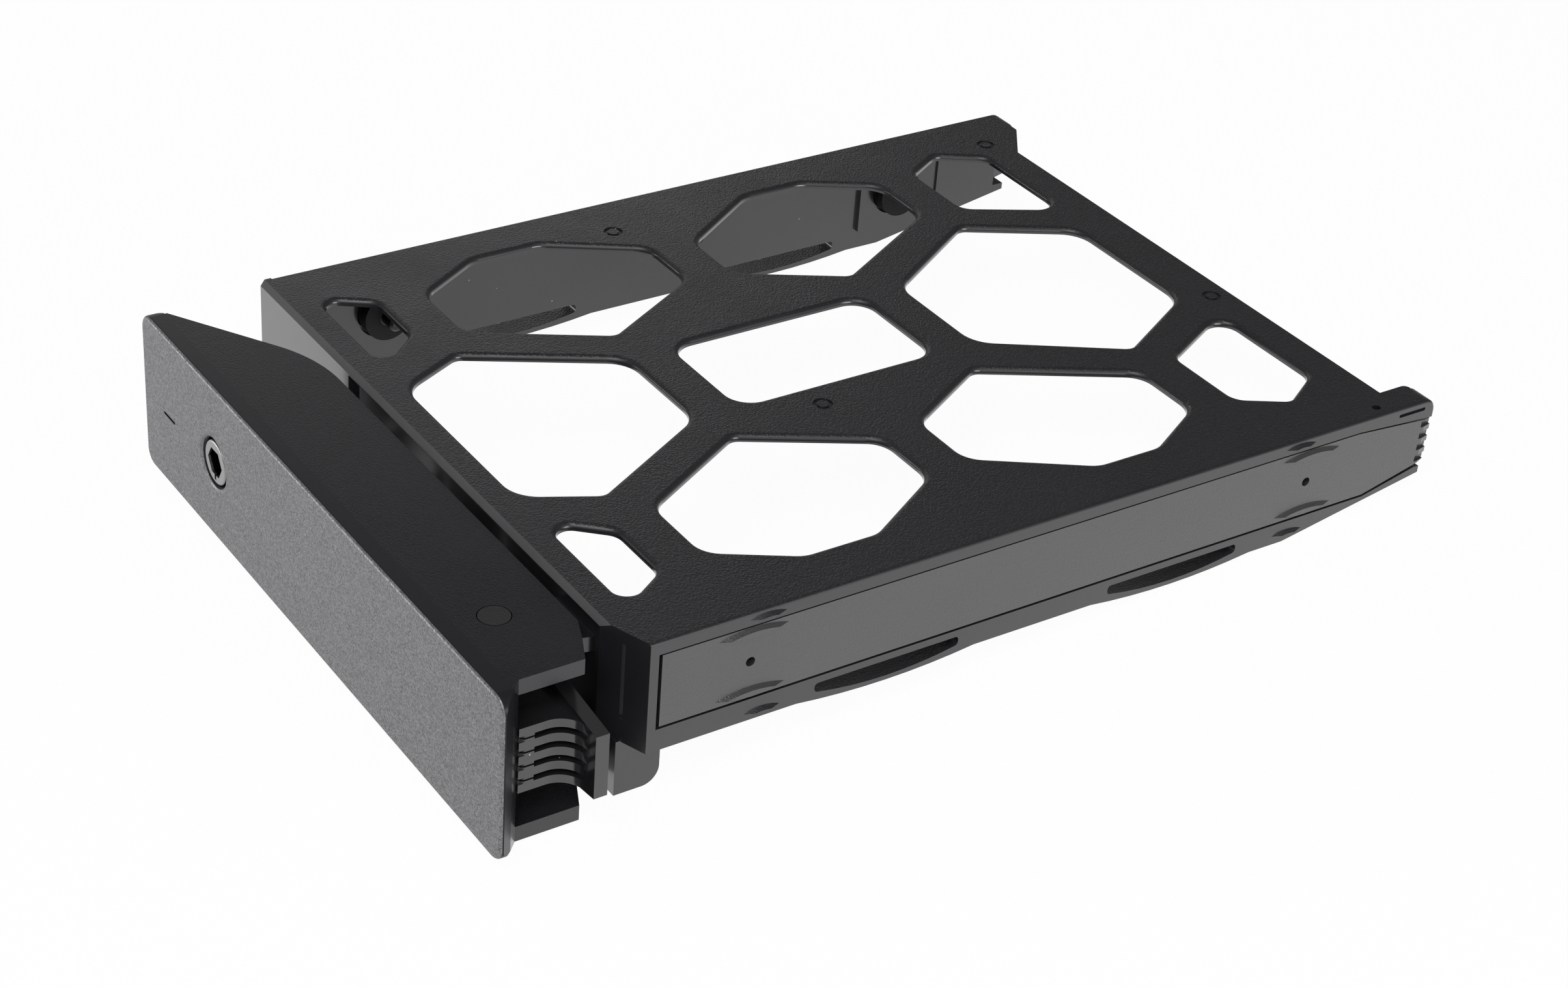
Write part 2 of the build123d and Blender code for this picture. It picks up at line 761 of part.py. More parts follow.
with BuildPart() as cam_hook:
    with BuildSketch(Plane.XY.offset(hub_bottom)):
        with Locations((pivot_x, pivot_y)):
            Circle(hub_radius)
    extrude(amount=hub_top - hub_bottom)
    with BuildSketch(Plane.XY.offset(rib_stack_bottom)):
        with BuildLine():
            Polyline(
                (curve_corner_x, hook_front),
                (curve_corner_x, hook_back),
                (hook_plate_left, hook_back),
                (pivot_x, pivot_y + hub_radius),
                (pivot_x, arm_front),
                (hook_side_x, arm_front),
                (hook_side_x, hook_front - hook_curve),
            )
            RadiusArc((hook_side_x, hook_front - hook_curve), (curve_corner_x, hook_front), hook_curve)
        make_face()
    extrude(amount=rib_stack)
    plate_edge = (
        (hook_plate_left, rib_stack / 2 + hook_plate_rise),
        (hook_tip_x - hook_bend_run, rib_stack / 2 + hook_bend_rise),
        (hook_tip_x, rib_stack / 2 - hook_tip_rise),
    )
    with BuildSketch(Plane.XZ.offset(-hook_back)):
        upper_edge = [(x, hook_middle + rise) for x, rise in plate_edge]
        lower_edge = [(x, hook_middle - rise) for x, rise in reversed(plate_edge)]
        outline(upper_edge + lower_edge)
    extrude(amount=hook_plate_thick)
    for gap in range(rib_count - 1):
        groove_bottom = rib_stack_bottom + rib_thick + gap * rib_pitch
        with BuildSketch(Plane.XY.offset(groove_bottom)):
            outline((
                (hook_side_x + 1, rib_groove_start),
                (hook_side_x, rib_groove_start),
                (hook_side_x - rib_groove_deep, rib_groove_start + rib_line_deep),
                (hook_side_x - rib_groove_deep, hook_front),
                (curve_corner_x + 1, hook_front),
            ))
            outline((
                (hook_side_x + 1, arm_front - 1),
                (hook_side_x - rib_line_deep, arm_front - 1),
                (hook_side_x - rib_line_deep, arm_front),
                (hook_side_x, arm_front + rib_nose),
                (hook_side_x + 1, arm_front + rib_nose),
            ))
        extrude(amount=rib_pitch - rib_thick, mode=Mode.SUBTRACT)
        line_bottom = groove_bottom + (rib_pitch - rib_thick - rib_line_width) / 2
        with BuildSketch(Plane.XY.offset(line_bottom)):
            outline((
                (hook_side_x + 1, arm_front),
                (hook_side_x - rib_line_deep, arm_front),
                (hook_side_x - rib_line_deep, rib_groove_start + rib_line_deep),
                (hook_side_x + 1, rib_groove_start + rib_line_deep),
            ))
        extrude(amount=rib_line_width, mode=Mode.SUBTRACT)
    with BuildSketch(Plane.XY.offset(hub_bottom)):
        with Locations((pivot_x, pivot_y)):
            Circle(pin_radius + fit_gap)
    extrude(amount=hub_top - hub_bottom, mode=Mode.SUBTRACT)

cam_hook.part.label = "cam_hook"
export_step(cam_hook.part, "parts/cam_hook.step")


# Hinge pin with its flush head, clip and friction washer
clip_top = clip_pocket - handle_bottom
with BuildPart() as hinge_pin:
    with BuildSketch(Plane.XY.offset(-handle_top)):
        with Locations((pivot_x, pivot_y)):
            Circle(pin_head_radius)
    extrude(amount=-handle_wall)
    with BuildSketch(Plane.XY.offset(inner_top)):
        with Locations((pivot_x, pivot_y)):
            Circle(pin_radius)
    extrude(amount=-(handle_bottom - pin_end_gap + inner_top))
    with BuildSketch(Plane.XY.offset(clip_top)):
        with Locations((pivot_x, pivot_y)):
            Circle(pin_radius)
            Circle(clip_groove_radius, mode=Mode.SUBTRACT)
    extrude(amount=-clip_thick, mode=Mode.SUBTRACT)

hinge_pin.part.label = "hinge_pin"
export_step(hinge_pin.part, "parts/hinge_pin.step")

with BuildPart() as pivot_clip:
    with BuildSketch(Plane.XY.offset(clip_top)):
        with Locations((pivot_x, pivot_y)):
            Circle(clip_radius)
            Circle(clip_groove_radius + fit_gap, mode=Mode.SUBTRACT)
        with Locations((pivot_x - clip_radius / 2, pivot_y)):
            Rectangle(clip_radius, clip_mouth, mode=Mode.SUBTRACT)
    extrude(amount=-clip_thick)

pivot_clip.part.label = "pivot_clip"
export_step(pivot_clip.part, "parts/pivot_clip.step")

with BuildPart() as friction_washer:
    with BuildSketch(Plane.XY.offset(inner_top)):
        with Locations((pivot_x, pivot_y)):
            Circle(washer_radius)
            Circle(pin_radius + fit_gap, mode=Mode.SUBTRACT)
    extrude(amount=-washer_thick)

friction_washer.part.label = "friction_washer"
export_step(friction_washer.part, "parts/friction_washer.step")


# Lock: barrel and nut stay in the lever, plug, cam and screw turn with the key
def lock_disc(front):
    """Plane across the lock's axis at a depth in Y, facing back."""
    return Plane(origin=(lock_x, front, handle_middle), x_dir=(1, 0, 0), z_dir=(0, 1, 0))


with BuildPart() as lock_barrel:
    with BuildSketch(lock_disc(face_back)):
        Circle(barrel_radius)
        Circle(plug_body_radius + plug_clearance, mode=Mode.SUBTRACT)
    extrude(amount=barrel_back - face_back)
    chamfer(lock_barrel.faces().sort_by(Axis.Y)[-1].outer_wire().edges(), 0.4)

lock_barrel.part.label = "lock_barrel"
export_step(lock_barrel.part, "parts/lock_barrel.step")

with BuildPart() as lock_nut:
    with BuildSketch(lock_disc(boss_back)):
        RegularPolygon(nut_across / 2, 6, major_radius=False)
        Circle(barrel_radius + fit_gap, mode=Mode.SUBTRACT)
    extrude(amount=nut_thick)

lock_nut.part.label = "lock_nut"
export_step(lock_nut.part, "parts/lock_nut.step")

with BuildPart() as lock_plug:
    with BuildSketch(lock_disc(face_front + plug_sink)):
        Circle(plug_head_radius)
    extrude(amount=face_thick - plug_sink - plug_clearance)
    with BuildSketch(lock_disc(face_back - plug_clearance)):
        Circle(plug_body_radius)
    extrude(amount=cam_front - face_back + plug_clearance)
    with BuildSketch(lock_disc(cam_front)):
        Rectangle(tail_across, tail_across)
    extrude(amount=cam_thick)
    fillet(lock_plug.faces().sort_by(Axis.Y)[0].edges(), 0.35)
    with BuildSketch(lock_disc(face_front + plug_sink)):
        RegularPolygon(key_across / 2, 6, major_radius=False)
    extrude(amount=key_depth, mode=Mode.SUBTRACT)
    with BuildSketch(lock_disc(face_front + plug_sink)):
        with Locations((0, key_notch_reach / 2)):
            Rectangle(key_notch_width, key_notch_reach)
    extrude(amount=key_notch_depth, mode=Mode.SUBTRACT)
    with BuildSketch(lock_disc(cam_back - screw_length)):
        Circle(screw_radius + fit_gap)
    extrude(amount=screw_length, mode=Mode.SUBTRACT)

lock_plug.part.label = "lock_plug"
export_step(lock_plug.part, "parts/lock_plug.step")

with BuildPart() as lock_cam:
    with BuildSketch(lock_disc(cam_front)) as cam_shape:
        with Locations((cam_reach / 2, 0)):
            Rectangle(cam_reach, 2 * cam_half_width)
        fillet(cam_shape.vertices().group_by(Axis.X)[-1], 1.2)
        Circle(cam_hub_radius)
        Rectangle(tail_across + 2 * fit_gap, tail_across + 2 * fit_gap, mode=Mode.SUBTRACT)
    extrude(amount=cam_thick)

lock_cam.part.label = "lock_cam"
export_step(lock_cam.part, "parts/lock_cam.step")

with BuildPart() as cam_screw:
    with BuildSketch(lock_disc(cam_back)):
        Circle(screw_head_radius)
    extrude(amount=screw_head_high)
    fillet(cam_screw.faces().sort_by(Axis.Y)[-1].edges(), 0.5)
    with BuildSketch(lock_disc(cam_back)):
        Circle(screw_radius)
    extrude(amount=-screw_length + fit_gap)
    with BuildSketch(lock_disc(cam_back + screw_head_high)):
        RegularPolygon(screw_drive_across / 2, 6, major_radius=False)
    extrude(amount=-screw_head_high * 0.6, mode=Mode.SUBTRACT)

cam_screw.part.label = "cam_screw"
export_step(cam_screw.part, "parts/cam_screw.step")


# Side panels: each carries two pins in grommets and pulls straight off its rail
def panel_grip(side):
    """Slope the panel's rear end and groove it for a fingertip."""
    grip_front = rail_end - grip_length
    with BuildSketch(Plane.XY) as slope:
        outline((
            (side * panel_outer, grip_front),
            (side * (panel_outer - grip_drop), rail_end),
            (side * (panel_outer + 1), rail_end + 1),
            (side * (panel_outer + 1), grip_front),
        ))
    extrude(slope.sketch, amount=-rail_height, mode=Mode.SUBTRACT)
    grip_middle = -(recess_top + top_fall + recess_bottom - bottom_rise) / 2
    with BuildSketch(side_facing(panel_outer, side)) as grooves:
        with Locations((rail_end - grip_length / 2, grip_middle)):
            with GridLocations(1, grip_pitch, 1, grip_teeth):
                Rectangle(2 * grip_length, grip_groove)
    extrude(grooves.sketch, amount=-side * (grip_drop + grip_groove_deep), mode=Mode.SUBTRACT)


for side_name, side in (("right", 1), ("left", -1)):
    inner_face = side_facing(panel_inner, side)
    with BuildPart() as retaining_panel:
        with BuildSketch(inner_face):
            outline(recess_points(panel_gap, recess_front + panel_front_gap, rail_end))
        extrude(amount=side * (panel_outer - panel_inner))
        panel_grip(side)
        bump_base = Plane(origin=(side * panel_outer, 0, 0), x_dir=(0, side, 0), z_dir=(side, 0, 0))
        top_line = -(recess_top + panel_gap + panel_bump_width / 2)
        bottom_line = -(recess_bottom - panel_gap - panel_bump_width / 2)
        for end_name, pin_y in pin_ends:
            bump_y = side * (pin_y + bump_after_pin)
            for z in (top_line, bottom_line):
                guide_bump(bump_base, bump_y, z, panel_bump_length, panel_bump_width)
        with BuildSketch(inner_face):
            with Locations(*[(y, pin_z) for end_name, y in pin_ends]):
                Circle(pin_hole_radius)
        extrude(amount=side * (panel_outer - panel_inner), mode=Mode.SUBTRACT)
        with BuildSketch(inner_face):
            with Locations(*[(y, pin_z) for end_name, y in pin_ends]):
                Circle(pin_collar_radius + fit_gap)
        extrude(amount=side * pin_collar_thick, mode=Mode.SUBTRACT)
        with BuildSketch(inner_face):
            with Locations(*[(y, pin_z) for y in tongue_places]):
                Rectangle(tongue_length, tongue_height)
        extrude(amount=-side * tongue_depth)
    retaining_panel.part.label = "retaining_panel_" + side_name
    export_step(retaining_panel.part, "parts/retaining_panel_" + side_name + ".step")

    for end_name, pin_y in pin_ends:
        pin_start = panel_inner + pin_collar_thick
        pin_shoulder = drive_width / 2 + grommet_drive_gap
        pin_tip = drive_width / 2 - pin_reach
        with BuildPart() as drive_pin:
            with BuildSketch(side_facing(pin_start, side)):
                with Locations((pin_y, pin_z)):
                    Circle(pin_body_radius)
            extrude(amount=-side * (pin_start - pin_shoulder))
            with BuildSketch(side_facing(pin_shoulder, side)):
                with Locations((pin_y, pin_z)):
                    Circle(pin_tip_radius)
            extrude(amount=-side * (pin_shoulder - pin_tip))
            chamfer(drive_pin.faces().sort_by(Axis.X)[0 if side > 0 else -1].edges(), pin_tip_bevel)
            with BuildSketch(side_facing(pin_start, side)):
                with Locations((pin_y, pin_z)):
                    Circle(pin_collar_radius)
            extrude(amount=-side * pin_collar_thick)
        drive_pin.part.label = "drive_pin_" + side_name + "_" + end_name
        export_step(drive_pin.part, "parts/" + drive_pin.part.label + ".step")

        grommet_length = panel_inner - pin_shoulder
        with BuildPart() as grommet:
            with BuildSketch(inner_face):
                with Locations((pin_y, pin_z)):
                    Circle(grommet_radius)
                    Circle(pin_body_radius + fit_gap, mode=Mode.SUBTRACT)
            extrude(amount=-side * grommet_length)
            with BuildSketch(side_facing(panel_inner - grommet_length * 0.35, side)):
                with Locations((pin_y, pin_z)):
                    Circle(grommet_radius)
                    Circle(grommet_radius - grommet_waist, mode=Mode.SUBTRACT)
            extrude(amount=-side * grommet_length * 0.3, mode=Mode.SUBTRACT)
        grommet.part.label = "grommet_" + side_name + "_" + end_name
        export_step(grommet.part, "parts/" + grommet.part.label + ".step")
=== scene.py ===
# %% [markdown]
# # A hot swap drive caddy, dressed in Blender
# The solids of the caddy come from its CAD model and stay where they are. This file gives them
# their moulded plastic, painted and metal finishes, adds the one piece that is too fine for the
# solid model, and sets up the floor, the lamps and the camera of a product photograph.

# %% Load the frame
import math

import bpy
from mathutils import Euler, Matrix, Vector


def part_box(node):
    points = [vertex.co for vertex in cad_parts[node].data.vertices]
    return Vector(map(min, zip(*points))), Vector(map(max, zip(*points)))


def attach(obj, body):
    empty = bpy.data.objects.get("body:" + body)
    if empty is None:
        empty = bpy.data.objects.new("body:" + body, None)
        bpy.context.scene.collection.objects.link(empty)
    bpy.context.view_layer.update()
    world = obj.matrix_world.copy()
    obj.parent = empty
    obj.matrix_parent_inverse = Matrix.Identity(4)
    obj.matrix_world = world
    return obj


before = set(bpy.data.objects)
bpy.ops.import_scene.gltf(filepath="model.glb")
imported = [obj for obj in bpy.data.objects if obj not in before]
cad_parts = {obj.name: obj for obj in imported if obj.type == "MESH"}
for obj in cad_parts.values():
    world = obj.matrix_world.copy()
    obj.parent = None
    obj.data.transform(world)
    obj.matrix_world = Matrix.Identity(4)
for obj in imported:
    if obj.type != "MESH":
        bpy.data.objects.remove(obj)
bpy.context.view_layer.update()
MM = 0.001

# %% [markdown]
# ## The camera
# The photograph looks down on the front right corner of the caddy through a long lens. The caddy
# leans on its handle, so the camera's roll holds that lean, and the frame itself stays square.

# %% Camera
LENS_MM = 69.18
SENSOR_MM = 36.0
CLIP_START = 0.01
CAMERA_PLACE = (332.04 * MM, -175.42 * MM, 230.67 * MM)
CAMERA_TURN_DEGREES = (57.813, -3.928, 56.679)

camera_data = bpy.data.cameras.new("photo_camera")
camera_data.lens = LENS_MM
camera_data.sensor_width = SENSOR_MM
camera_data.clip_start = CLIP_START
camera = bpy.data.objects.new("photo_camera", camera_data)
camera.location = CAMERA_PLACE
camera.rotation_euler = Euler([math.radians(a) for a in CAMERA_TURN_DEGREES], "XYZ")
bpy.context.scene.collection.objects.link(camera)
bpy.context.scene.camera = camera
print("camera lens:", camera_data.lens)

# %% [markdown]
# ## The resting plane
# On a table the caddy stands on the lower edge of its handle and on the ends of its rails,
# where they start to taper. The floor is laid along those two lines, a little below them.

# %% Floor
HANDLE_FOOT = (-1.8 * MM, -28.15 * MM)
RAIL_FOOT = (118.0 * MM, -18.2 * MM)
FLOOR_GAP = 0.2 * MM
FLOOR_HALF = 1.5

lean = math.atan2(RAIL_FOOT[1] - HANDLE_FOOT[1], RAIL_FOOT[0] - HANDLE_FOOT[0])
corners = ((-FLOOR_HALF, -FLOOR_HALF), (FLOOR_HALF, -FLOOR_HALF),
           (FLOOR_HALF, FLOOR_HALF), (-FLOOR_HALF, FLOOR_HALF))
floor_points = [
    (x, HANDLE_FOOT[0] + y * math.cos(lean), HANDLE_FOOT[1] + y * math.sin(lean) - FLOOR_GAP)
    for x, y in corners
]
floor_mesh = bpy.data.meshes.new("floor")
floor_mesh.from_pydata(floor_points, [], [(0, 1, 2, 3)])
floor = bpy.data.objects.new("floor", floor_mesh)
bpy.context.scene.collection.objects.link(floor)
print("lean in degrees:", round(math.degrees(lean), 2))

# %% [markdown]
# ## Building materials from nodes
# Every finish here is a small node tree. Three helpers keep them short: one adds a node and sets
# its inputs, one makes a material with a Principled shader that has the plain values, and one
# puts a material on solids of the frame.


# %% Node helpers
def add_node(tree, kind, inputs=None, **settings):
    """Add a node, set its own settings and its inputs, and link any input that is a socket."""
    made = tree.nodes.new(kind)
    for name, value in settings.items():
        setattr(made, name, value)
    for key, value in (inputs or {}).items():
        if isinstance(value, bpy.types.NodeSocket):
            tree.links.new(value, made.inputs[key])
        else:
            made.inputs[key].default_value = value
    return made


def new_finish(name, **values):
    """A material whose Principled shader has these plain values, and the shader's node."""
    material = bpy.data.materials.new(name)
    material.use_nodes = True
    shader = material.node_tree.nodes["Principled BSDF"]
    for key, value in values.items():
        shader.inputs[key.replace("_", " ").title().replace("Ior", "IOR")].default_value = value
    return material, shader


def dress(material, *nodes):
    """Give CAD nodes one finish in place of their own."""
    for name in nodes:
        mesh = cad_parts[name].data
        mesh.materials.clear()
        mesh.materials.append(material)


# %% [markdown]
# ## Moulded grain
# The tray and the lever come from a steel mould whose walls were etched, so the plastic carries
# a fine pebble grain. One group makes it from soft cells that a noise bends out of line, and each
# plastic sets the size of its own cells. It gives a height for bump, and a broad tone that varies
# the colour and the sheen.


# %% Grain group
TONE_SCALE = 60.0


def make_grain_group():
    group = bpy.data.node_groups.new("moulded grain", "ShaderNodeTree")
    face = group.interface
    face.new_socket("Grain Size", in_out="INPUT", socket_type="NodeSocketFloat").default_value = 0.0005
    face.new_socket("Height", in_out="OUTPUT", socket_type="NodeSocketFloat")
    face.new_socket("Tone", in_out="OUTPUT", socket_type="NodeSocketFloat")
    given = add_node(group, "NodeGroupInput")
    place = add_node(group, "ShaderNodeTexCoord")
    scale = add_node(group, "ShaderNodeMath", {0: 1.0, 1: given.outputs["Grain Size"]}, operation="DIVIDE")
    warp = add_node(group, "ShaderNodeTexNoise", {
        "Vector": place.outputs["Object"], "Scale": scale.outputs[0], "Detail": 1.0})
    shift = add_node(group, "ShaderNodeVectorMath", {
        0: warp.outputs["Color"], 1: (0.5, 0.5, 0.5)}, operation="SUBTRACT")
    step = add_node(group, "ShaderNodeVectorMath", {
        0: shift.outputs[0], "Scale": given.outputs["Grain Size"]}, operation="SCALE")
    bent = add_node(group, "ShaderNodeVectorMath", {
        0: place.outputs["Object"], 1: step.outputs[0]}, operation="ADD")
    pebbles = add_node(group, "ShaderNodeTexVoronoi", {
        "Vector": bent.outputs[0], "Scale": scale.outputs[0], "Smoothness": 0.7}, feature="SMOOTH_F1")
    dome = add_node(group, "ShaderNodeMapRange", {
        "Value": pebbles.outputs["Distance"], "From Min": 0.1, "From Max": 0.75,
        "To Min": 1.0, "To Max": 0.0}, interpolation_type="SMOOTHSTEP")
    broad = add_node(group, "ShaderNodeTexNoise", {
        "Vector": place.outputs["Object"], "Scale": TONE_SCALE, "Detail": 3.0})
    out = add_node(group, "NodeGroupOutput")
    group.links.new(dome.outputs["Result"], out.inputs["Height"])
    group.links.new(broad.outputs["Fac"], out.inputs["Tone"])
    return group


grain_group = make_grain_group()
print("grain group sockets:", len(grain_group.interface.items_tree))


# %% [markdown]
# ## Fine dust
# A clean product still carries a few specks of dust, which show as pale dots on black plastic.
# One group scatters them: every cell has a random value between 0 and 1, and a small spot is drawn
# where that value is below the share asked for. The spacing of the cells is an input too.


# %% Dust group
def make_dust_group():
    group = bpy.data.node_groups.new("fine dust", "ShaderNodeTree")
    face = group.interface
    face.new_socket("Spacing", in_out="INPUT", socket_type="NodeSocketFloat").default_value = 0.002
    face.new_socket("Share", in_out="INPUT", socket_type="NodeSocketFloat").default_value = 0.1
    face.new_socket("Spots", in_out="OUTPUT", socket_type="NodeSocketFloat")
    given = add_node(group, "NodeGroupInput")
    place = add_node(group, "ShaderNodeTexCoord")
    scale = add_node(group, "ShaderNodeMath", {0: 1.0, 1: given.outputs["Spacing"]}, operation="DIVIDE")
    cells = add_node(group, "ShaderNodeTexVoronoi", {
        "Vector": place.outputs["Object"], "Scale": scale.outputs[0]})
    chance = add_node(group, "ShaderNodeSeparateColor", {0: cells.outputs["Color"]})
    kept = add_node(group, "ShaderNodeMath", {
        0: chance.outputs[0], 1: given.outputs["Share"]}, operation="LESS_THAN")
    spot = add_node(group, "ShaderNodeMapRange", {
        "Value": cells.outputs["Distance"], "From Min": 0.015, "From Max": 0.035,
        "To Min": 1.0, "To Max": 0.0})
    spots = add_node(group, "ShaderNodeMath", {
        0: spot.outputs["Result"], 1: kept.outputs[0]}, operation="MULTIPLY")
    out = add_node(group, "NodeGroupOutput")
    group.links.new(spots.outputs[0], out.inputs["Spots"])
    return group


dust_group = make_dust_group()
DUST_COLOUR = (0.35, 0.34, 0.32, 1.0)


def dusty(tree, colour, spacing=0.0045, share=0.3):
    """Scatter dust over a colour socket and return the colour with its dust."""
    dust = add_node(tree, "ShaderNodeGroup", node_tree=dust_group)
    dust.inputs["Spacing"].default_value = spacing
    dust.inputs["Share"].default_value = share
    mixed = add_node(tree, "ShaderNodeMix", {
        "Factor": dust.outputs["Spots"], "A": colour, "B": DUST_COLOUR}, data_type="RGBA")
    return mixed.outputs["Result"]


print("dust group sockets:", len(dust_group.interface.items_tree))


# %% Grained plastic
def grained(material, shader, grain_size, depth, rough, rough_spread, dark, light, mask=None):
    """Wire the grain into a plastic and return its roughness. A mask fades the bump alone."""
    tree = material.node_tree
    grain = add_node(tree, "ShaderNodeGroup", node_tree=grain_group)
    grain.inputs["Grain Size"].default_value = grain_size
    strength = 1.0 if mask is None else mask
    bump = add_node(tree, "ShaderNodeBump", {
        "Height": grain.outputs["Height"], "Strength": strength, "Distance": depth})
    tree.links.new(bump.outputs["Normal"], shader.inputs["Normal"])
    roughness = add_node(tree, "ShaderNodeMapRange", {
        "Value": grain.outputs["Tone"], "From Min": 0.3, "From Max": 0.7,
        "To Min": rough - rough_spread, "To Max": rough + rough_spread})
    tree.links.new(roughness.outputs["Result"], shader.inputs["Roughness"])
    colour = add_node(tree, "ShaderNodeMix", {
        "Factor": grain.outputs["Tone"], "A": dark, "B": light}, data_type="RGBA")
    tree.links.new(dusty(tree, colour.outputs["Result"]), shader.inputs["Base Color"])
    return roughness.outputs["Result"]


# %% [markdown]
# ## The tray's moulding
# The plate's outer face has the pebble grain at its deepest. The rails and the front wall come
# from polished parts of the same mould, so there the grain fades and the plastic shines more.
# The face's own direction, read from the object normal, tells the two apart. The rounded rims of
# the windows lie between them: they have little grain and little shine.


# %% Tray finish
def faces_up(tree, start, end):
    """A mask that is 1 where the surface points up and 0 on the walls."""
    place = add_node(tree, "ShaderNodeTexCoord")
    way = add_node(tree, "ShaderNodeSeparateXYZ", {0: place.outputs["Normal"]})
    mask = add_node(tree, "ShaderNodeMapRange", {
        "Value": way.outputs["Z"], "From Min": start, "From Max": end})
    return mask.outputs["Result"]


def polish_walls(material, shader, top_mask, top_rough, wall_rough, wall_coat):
    """Let the walls shine: less roughness than the top and a clear skin over them."""
    tree = material.node_tree
    rough = add_node(tree, "ShaderNodeMix", {
        "Factor": top_mask, "A": wall_rough, "B": top_rough}, data_type="FLOAT")
    tree.links.new(rough.outputs["Result"], shader.inputs["Roughness"])
    coat = add_node(tree, "ShaderNodeMix", {
        "Factor": top_mask, "A": wall_coat, "B": 0.0}, data_type="FLOAT")
    tree.links.new(coat.outputs["Result"], shader.inputs["Coat Weight"])


tray_finish, tray_shader = new_finish("tray_moulding", specular_ior_level=0.42, coat_roughness=0.14)
tray_top = faces_up(tray_finish.node_tree, start=0.6, end=0.9)
tray_rough = grained(
    tray_finish, tray_shader, grain_size=0.00032, depth=0.00005, rough=0.43, rough_spread=0.05,
    dark=(0.007, 0.007, 0.0085, 1.0), light=(0.012, 0.012, 0.0138, 1.0), mask=tray_top)
tray_slopes = faces_up(tray_finish.node_tree, start=0.15, end=0.5)
polish_walls(tray_finish, tray_shader, tray_slopes, tray_rough, wall_rough=0.3, wall_coat=1.0)
dress(tray_finish, "tray_frame")
print("tray finish nodes:", len(tray_finish.node_tree.nodes))

# %% [markdown]
# ## Panels, lever, hook and small plastic pieces
# The same grain covers the panels, but shallower, and the lever's is finer and shallower still.
# The lever's walls shine like the tray's. The hook is polished, so it has next to no grain.

# %% Other plastics
panel_finish, panel_shader = new_finish(
    "panel_moulding", specular_ior_level=0.6, coat_weight=1.0, coat_roughness=0.24)
grained(panel_finish, panel_shader, grain_size=0.00032, depth=0.000028, rough=0.33, rough_spread=0.04,
        dark=(0.017, 0.017, 0.018, 1.0), light=(0.026, 0.026, 0.027, 1.0))
dress(panel_finish, "retaining_panel_right", "retaining_panel_left")

lever_finish, lever_shader = new_finish("lever_moulding", specular_ior_level=0.15, coat_roughness=0.2)
lever_top = faces_up(lever_finish.node_tree, start=0.5, end=0.85)
lever_rough = grained(
    lever_finish, lever_shader, grain_size=0.00024, depth=0.000015, rough=0.34, rough_spread=0.04,
    dark=(0.009, 0.009, 0.0105, 1.0), light=(0.013, 0.013, 0.015, 1.0))
polish_walls(lever_finish, lever_shader, lever_top, lever_rough, wall_rough=0.3, wall_coat=1.0)
dress(lever_finish, "handle_lever")

pin_finish, pin_shader = new_finish("pin_moulding", specular_ior_level=0.4)
grained(pin_finish, pin_shader, grain_size=0.0003, depth=0.000008, rough=0.33, rough_spread=0.03,
        dark=(0.008, 0.008, 0.009, 1.0), light=(0.012, 0.012, 0.013, 1.0))
dress(pin_finish, "hinge_pin")

hook_finish, hook_shader = new_finish(
    "hook_moulding", specular_ior_level=0.6, coat_weight=0.8, coat_roughness=0.12)
grained(hook_finish, hook_shader, grain_size=0.0006, depth=0.000003, rough=0.2, rough_spread=0.03,
        dark=(0.008, 0.008, 0.009, 1.0), light=(0.013, 0.013, 0.014, 1.0))
dress(hook_finish, "cam_hook")

washer_finish, washer_shader = new_finish("washer_nylon", roughness=0.5)
grained(washer_finish, washer_shader, grain_size=0.0003, depth=0.00001, rough=0.5, rough_spread=0.05,
        dark=(0.6, 0.59, 0.55, 1.0), light=(0.68, 0.67, 0.63, 1.0))
dress(washer_finish, "friction_washer")

rubber_finish, rubber_shader = new_finish("grommet_rubber", specular_ior_level=0.25)
grained(rubber_finish, rubber_shader, grain_size=0.0002, depth=0.00001, rough=0.7, rough_spread=0.05,
        dark=(0.005, 0.005, 0.005, 1.0), light=(0.009, 0.009, 0.009, 1.0))
dress(rubber_finish, *[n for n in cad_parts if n.startswith("grommet")])
print("plastics done")

# %% [markdown]
# ## Painted face
# Only the front of the handle is sprayed, with a dark metallic paint. Its flakes are too small to
# draw, but together they give a speckle, so random cells of 0.2 mm vary the colour, the metal look
# and the roughness, and a finer noise gives the uneven skin of sprayed paint. Behind the front
# edge the plate is bare black plastic like the lever, so a mask from the object normal keeps the
# paint to the faces that point forward. The sunk mark is bare too, found by depth. A thin ring
# round the lock, found by distance from the lock, is painted shade: it gets the same black, which
# stands for the dark gap round the lock's plug.

# %% Face paint
SUNK_FROM = 0.06 * MM
LOCK_SHADE_RING = 0.6 * MM
FLAKES_PER_METRE = 5000.0
SKIN_SCALE = 1700.0
# Bare black plastic, which also colours the painted shade of the ring round the lock.
BARE_BLACK_AND_SHADE = (0.011, 0.011, 0.0128, 1.0)
BARE_ROUGH = 0.34
FLAKE_DARK = (0.1, 0.1, 0.103, 1.0)
FLAKE_LIGHT = (0.235, 0.234, 0.241, 1.0)

